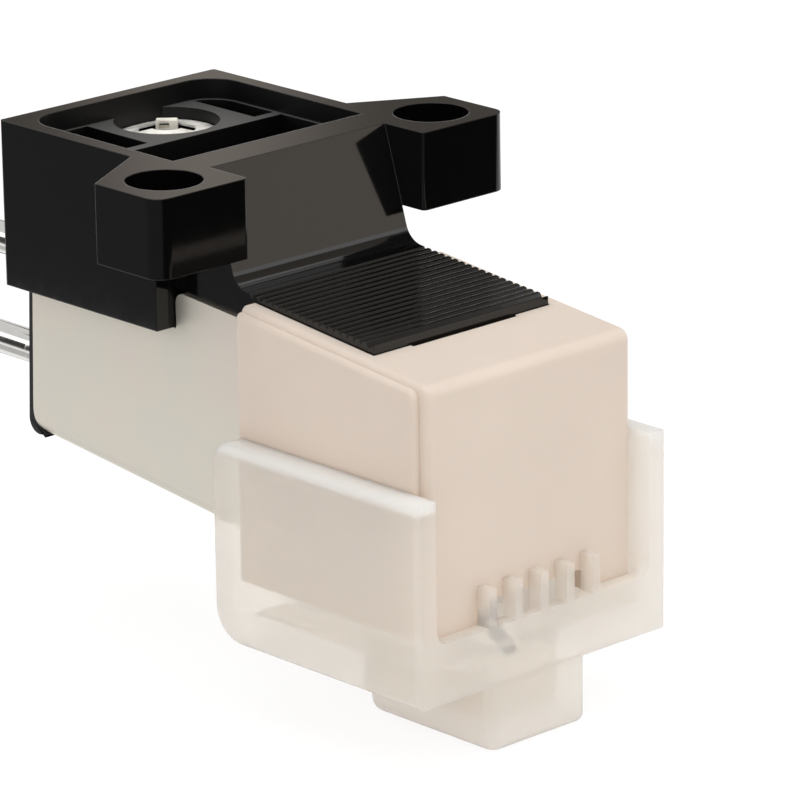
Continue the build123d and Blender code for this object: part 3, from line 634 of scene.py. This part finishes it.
class CARTRIDGE_OT_generator(bpy.types.Operator):
    """Finish the cores, the yoke, the bobbins and the coils"""
    bl_idname = "cartridge.generator"
    bl_label = "Generator"

    def execute(self, context):
        colours = context.scene.cartridge_colours
        iron = plain_metal("nickel_iron_annealed", colours.core, 0.4, 0.5)
        clothe(iron, "left_core", "right_core", "rear_yoke")
        clothe(plain_moulding("nylon_moulded", colours.spool, 0.5), "left_bobbin", "right_bobbin")
        clothe(plain_metal("copper_wire_enamelled", colours.copper, 0.3, 0.3), "left_coil", "right_coil")
        return {"FINISHED"}


class CARTRIDGE_OT_stylus_holder(bpy.types.Operator):
    """Finish the cream stylus holder"""
    bl_idname = "cartridge.stylus_holder"
    bl_label = "Stylus holder"

    def execute(self, context):
        clothe(cream_abs(context.scene.cartridge_colours.cream), "stylus_holder")
        return {"FINISHED"}


class CARTRIDGE_OT_stylus(bpy.types.Operator):
    """Finish the pivot sleeve, damper, cantilever, magnets and tip"""
    bl_idname = "cartridge.stylus"
    bl_label = "Stylus"

    def execute(self, context):
        colours = context.scene.cartridge_colours
        clothe(plain_metal("aluminium_drawn", colours.sleeve, 0.3, 0.4), "pivot_sleeve")
        clothe(plain_moulding("butyl_rubber_moulded", colours.rubber, 0.7), "damper")
        clothe(plain_moulding("carbon_filled_moulded", colours.arm, 0.4), "cantilever")
        clothe(plain_metal("magnet_sintered", colours.magnet, 0.45, 0.2), "left_magnet", "right_magnet")
        clothe(ground_diamond(colours.diamond), "stylus_tip")
        return {"FINISHED"}


class CARTRIDGE_OT_stylus_guard(bpy.types.Operator):
    """Finish the milky stylus guard"""
    bl_idname = "cartridge.stylus_guard"
    bl_label = "Stylus guard"

    def execute(self, context):
        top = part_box("stylus_guard")[1].z
        clothe(milky_polypropylene(context.scene.cartridge_colours.guard, top), "stylus_guard")
        return {"FINISHED"}


def seen_directly(tree):
    """1 for rays that show the background itself: from the camera, off metal and through clear pieces."""
    path = add_node(tree, "ShaderNodeLightPath").outputs
    first = add_node(tree, "ShaderNodeMath", {0: path["Is Camera Ray"], 1: path["Is Glossy Ray"]},
                     operation="MAXIMUM").outputs[0]
    return add_node(tree, "ShaderNodeMath", {0: first, 1: path["Is Transmission Ray"]},
                    operation="MAXIMUM").outputs[0]


def floor_paper(rgb):
    """Matte white paper: its own faint glow for direct view lifts it to white and leaves the shadow.

    From below it is clear, so that the underside of the object can be looked at.
    """
    material = bpy.data.materials.new("studio_paper_matte")
    material.use_nodes = True
    tree = material.node_tree
    tree.nodes.clear()
    matte = add_node(tree, "ShaderNodeBsdfDiffuse", {"Color": (*rgb, 1)})
    dim = add_node(tree, "ShaderNodeBsdfDiffuse", {"Color": tint(WHITE, 0.2)})
    glow = add_node(tree, "ShaderNodeEmission", {"Strength": 0.86})
    white = add_node(tree, "ShaderNodeAddShader", {0: dim.outputs[0], 1: glow.outputs[0]})
    above = add_node(tree, "ShaderNodeMixShader", {
        0: seen_directly(tree), 1: matte.outputs[0], 2: white.outputs[0]})
    below = add_node(tree, "ShaderNodeNewGeometry").outputs["Backfacing"]
    clear = add_node(tree, "ShaderNodeBsdfTransparent")
    sheet = add_node(tree, "ShaderNodeMixShader", {0: below, 1: above.outputs[0], 2: clear.outputs[0]})
    add_node(tree, "ShaderNodeOutputMaterial", {"Surface": sheet.outputs[0]})
    return material


def studio_card(name, tone, glow, centre_glow, reach):
    """Card whose brightness, where 1 is white, changes softly from its upright middle line to the reach."""
    material, tree, shader = blank(name + "_paper", {
        "Base Color": (0, 0, 0, 1), "Specular IOR Level": 0, "Emission Color": (*tone, 1),
        "Emission Strength": glow})
    if centre_glow != glow:
        place = add_node(tree, "ShaderNodeTexCoord").outputs["Object"]
        aside = add_node(tree, "ShaderNodeSeparateXYZ", {0: place}).outputs["X"]
        away = add_node(tree, "ShaderNodeMath", {0: aside}, operation="ABSOLUTE").outputs[0]
        ramp = add_node(tree, "ShaderNodeMapRange", {
            "Value": away, "From Max": reach, "To Min": centre_glow, "To Max": glow},
            interpolation_type="SMOOTHSTEP")
        tree.links.new(ramp.outputs["Result"], shader.inputs["Emission Strength"])
    return material


def placed(axes, middle):
    """Matrix of an object that stands at a place, with its x, y and z along three unit directions."""
    matrix = np.eye(4)
    matrix[:3, :3], matrix[:3, 3] = np.stack(axes).T, middle
    return Matrix(matrix.tolist())


class CARTRIDGE_OT_stage(bpy.types.Operator):
    """Set the camera, the floor and the soft studio light"""
    bl_idname = "cartridge.stage"
    bl_label = "Studio stage"

    def execute(self, context):
        scene = context.scene
        stage = scene.cartridge_stage
        scene.view_settings.view_transform = "Standard"
        self.camera(scene, stage)
        self.floor(scene)
        self.sky(scene, stage)
        self.lamp(scene, "front_light", power=stage.key, size=0.42, place=(0.21, -0.27, 0.26))
        self.lamp(scene, "top_light", power=stage.top, size=0.34, place=(-0.04, -0.02, 0.36))
        self.lamp(scene, "side_light", power=stage.side, size=0.3, place=(-0.34, -0.10, 0.18))
        self.cards(scene, stage)
        return {"FINISHED"}

    def camera(self, scene, stage):
        """Camera whose axes are the view's right, up and back directions, turned by the roll."""
        a, e, r = stage.azimuth, stage.elevation, stage.roll
        back = np.array((sin(a) * cos(e), -cos(a) * cos(e), sin(e)))
        right = np.array((cos(a), sin(a), 0))
        up = np.cross(back, right)
        axes = np.stack((right * cos(r) + up * sin(r), up * cos(r) - right * sin(r), back))
        place = -axes.T @ np.array((stage.aside[0], stage.aside[1], -stage.distance))
        data = bpy.data.cameras.new("view_camera")
        data.lens, data.sensor_width, data.clip_start = stage.lens, 36, 0.01
        camera = bpy.data.objects.new("view_camera", data)
        camera.matrix_world = placed(axes, place)
        scene.collection.objects.link(camera)
        scene.camera = camera

    def floor(self, scene):
        """Flat square of paper just under the lowest point of the cartridge."""
        half, level = 2.0, cad_box[0][2] - 0.05 * MM
        corners = [(-half, -half, level), (half, -half, level), (half, half, level), (-half, half, level)]
        mesh = bpy.data.meshes.new("studio_floor")
        mesh.from_pydata(corners, [], [(0, 1, 2, 3)])
        floor = bpy.data.objects.new("studio_floor", mesh)
        floor.data.materials.append(floor_paper(scene.cartridge_colours.floor))
        scene.collection.objects.link(floor)

    def sky(self, scene, stage):
        """Even light from all round, at full white where it is seen directly."""
        world = bpy.data.worlds.new("studio_surround")
        world.use_nodes = True
        tree = world.node_tree
        tree.nodes.clear()
        strength = add_node(tree, "ShaderNodeMapRange", {
            "Value": seen_directly(tree), "To Min": stage.sky, "To Max": 1})
        light = add_node(tree, "ShaderNodeBackground", {"Strength": strength.outputs["Result"]})
        add_node(tree, "ShaderNodeOutputWorld", {"Surface": light.outputs[0]})
        scene.world = world

    def lamp(self, scene, name, power, size, place):
        """Square soft light that faces the middle of the object, with its place and size in metres."""
        data = bpy.data.lights.new(name, "AREA")
        data.energy, data.size = power, size
        lamp = bpy.data.objects.new(name, data)
        # The upright leans back a little, so that it never lies along a light's own direction.
        upright, back = (0, 0.2, 1), unit(np.array(place))
        right = unit(np.cross(upright, back))
        lamp.matrix_world = placed((right, np.cross(back, right), back), place)
        scene.collection.objects.link(lamp)

    def cards(self, scene, stage):
        """Flags that lie on the floor and cards that stand round the object, in metres.

        The two behind the object stand square to the camera's view.
        """
        level = cad_box[0][2]
        across = np.array((cos(stage.azimuth), sin(stage.azimuth), 0))
        behind = np.array((-sin(stage.azimuth), cos(stage.azimuth), 0))
        upright = np.array((0, 0, 1))
        rear = 0.07 * behind + 0.05 * upright
        warm = scene.cartridge_colours.warm_card
        self.card(scene, "side_flag", middle=(-0.216, 0, level), width=(0.369, 0, 0),
                  height=(0, 0.80, 0), glow=0.18)
        self.card(scene, "near_flag", middle=(-0.011, 0.02, level), width=(0.012, 0, 0),
                  height=(0, 0.08, 0), glow=0.6)
        self.card(scene, "front_flag", middle=(0.184, -0.218, level), width=(0.431, 0, 0),
                  height=(0, 0.364, 0), glow=0.02)
        self.card(scene, "rear_card", middle=rear - 0.006 * across, width=0.024 * across,
                  height=0.09 * upright, glow=0.2, centre_glow=0.55, reach=0.0095, tone=warm)
        self.card(scene, "rear_shade", middle=rear + 0.036 * across, width=0.06 * across,
                  height=0.09 * upright, glow=0.2, tone=warm)
        self.card(scene, "front_card", middle=(0.098, -0.114, 0.016), width=(0.12, 0.10, 0),
                  height=0.06 * upright, glow=1.3, tone=warm)
        self.card(scene, "front_shade", middle=(0.078, -0.063, 0.085), width=(0.09, 0.11, 0),
                  height=0.07 * upright, glow=0.45, tone=warm)
        self.card(scene, "rear_flag", middle=(0.036, 0.038, level), width=(0.06, 0, 0),
                  height=(0, 0.06, 0), glow=0.05)
        self.card(scene, "left_card", middle=(-0.13, 0.15, 0.055), width=(0.10, 0.09, 0),
                  height=0.1 * upright, glow=1.8)
        self.card(scene, "pin_shade", middle=(-0.066, 0.078, -0.0015), width=(0.022, 0.022, 0),
                  height=0.035 * upright, glow=0.05)

    def card(self, scene, name, middle, width, height, glow, centre_glow=None, reach=1, tone=WHITE):
        """Card that shows only in reflections, as a photographer darkens or lifts a glossy side."""
        sides = np.array(((-1, -1), (1, -1), (1, 1), (-1, 1))) / 2
        corners = sides * (np.linalg.norm(width), np.linalg.norm(height))
        mesh = bpy.data.meshes.new(name)
        mesh.from_pydata(np.column_stack((corners, np.zeros(4))).tolist(), [], [(0, 1, 2, 3)])
        card = bpy.data.objects.new(name, mesh)
        right, up = unit(np.array(width)), unit(np.array(height))
        card.matrix_world = placed((right, up, np.cross(right, up)), middle)
        card.visible_camera = card.visible_diffuse = False
        card.visible_shadow = card.visible_transmission = False
        centre_glow = glow if centre_glow is None else centre_glow
        card.data.materials.append(studio_card(name, tone, glow, centre_glow, reach))
        scene.collection.objects.link(card)


PIECES = (CARTRIDGE_OT_black_mouldings, CARTRIDGE_OT_screening_can, CARTRIDGE_OT_terminal_pins,
          CARTRIDGE_OT_earth_fittings, CARTRIDGE_OT_generator, CARTRIDGE_OT_stylus_holder,
          CARTRIDGE_OT_stylus, CARTRIDGE_OT_stylus_guard, CARTRIDGE_OT_stage)


class CARTRIDGE_PT_sidebar(bpy.types.Panel):
    """Sizes, colours and pieces of the cartridge"""
    bl_idname = "CARTRIDGE_PT_sidebar"
    bl_label = "Cartridge"
    bl_space_type = "VIEW_3D"
    bl_region_type = "UI"
    bl_category = "Cartridge"

    def draw(self, context):
        scene = context.scene
        for piece in PIECES:
            self.layout.operator(piece.bl_idname)
        for group in (scene.cartridge_sizes, scene.cartridge_colours, scene.cartridge_stage):
            box = self.layout.box()
            for key in group.__annotations__:
                box.prop(group, key)


CLASSES = (CartridgeSizes, CartridgeColours, StageSettings, *PIECES, CARTRIDGE_PT_sidebar)


def register():
    for cls in CLASSES:
        bpy.utils.register_class(cls)
    bpy.types.Scene.cartridge_sizes = PointerProperty(type=CartridgeSizes)
    bpy.types.Scene.cartridge_colours = PointerProperty(type=CartridgeColours)
    bpy.types.Scene.cartridge_stage = PointerProperty(type=StageSettings)


def unregister():
    del bpy.types.Scene.cartridge_stage
    del bpy.types.Scene.cartridge_colours
    del bpy.types.Scene.cartridge_sizes
    for cls in reversed(CLASSES):
        bpy.utils.unregister_class(cls)


def main():
    """Makes every piece and the stage."""
    register()
    for name in (piece.bl_idname.split(".")[1] for piece in PIECES):
        getattr(bpy.ops.cartridge, name)()


if __name__ == "__main__":
    main()
